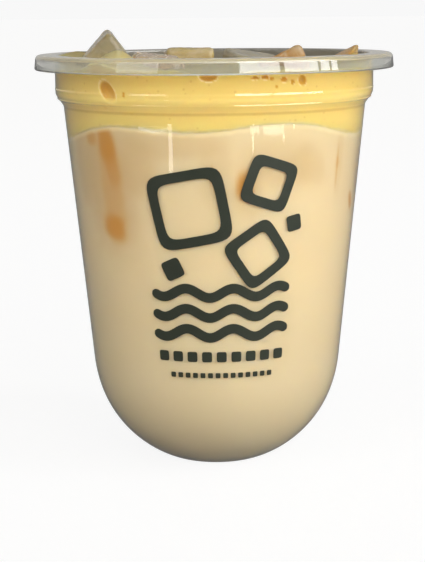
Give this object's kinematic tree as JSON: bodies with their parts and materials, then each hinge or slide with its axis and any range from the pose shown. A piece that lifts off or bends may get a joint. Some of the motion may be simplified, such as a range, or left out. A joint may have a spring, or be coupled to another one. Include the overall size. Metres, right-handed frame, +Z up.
{
  "type": "iced milk tea in a plastic cup",
  "caption": "Clear U-shaped plastic cup with a wide flat rim, filled to the rim with iced milk tea under a thick custard cream layer, with ice cubes standing out of the cream.",
  "frame": {"origin": "centre of the flat ring that the cup stands on", "axes": "+Z up along the cup's axis, the printed front faces -Y"},
  "size_m": [0.098, 0.098, 0.1193],
  "materials": {
    "clear_plastic": "clear, glossy, thin-walled",
    "print_ink": "dark grey-green screen print, slightly glossy",
    "milk_tea": "smooth opaque milky liquid",
    "custard_cream": "soft yellow foam with fine bubbles",
    "ice": "wet, partly frosted, tinted by tea and cream"
  },
  "bodies": {
    "root": {"cup": "clear_plastic", "milk_tea": "milk_tea", "cream": "custard_cream", "ice_front_left": "ice", "ice_front": "ice", "ice_middle": "ice", "ice_back": "ice", "ice_right": "ice", "ice_back_right": "ice"}
  },
  "joints": []
}
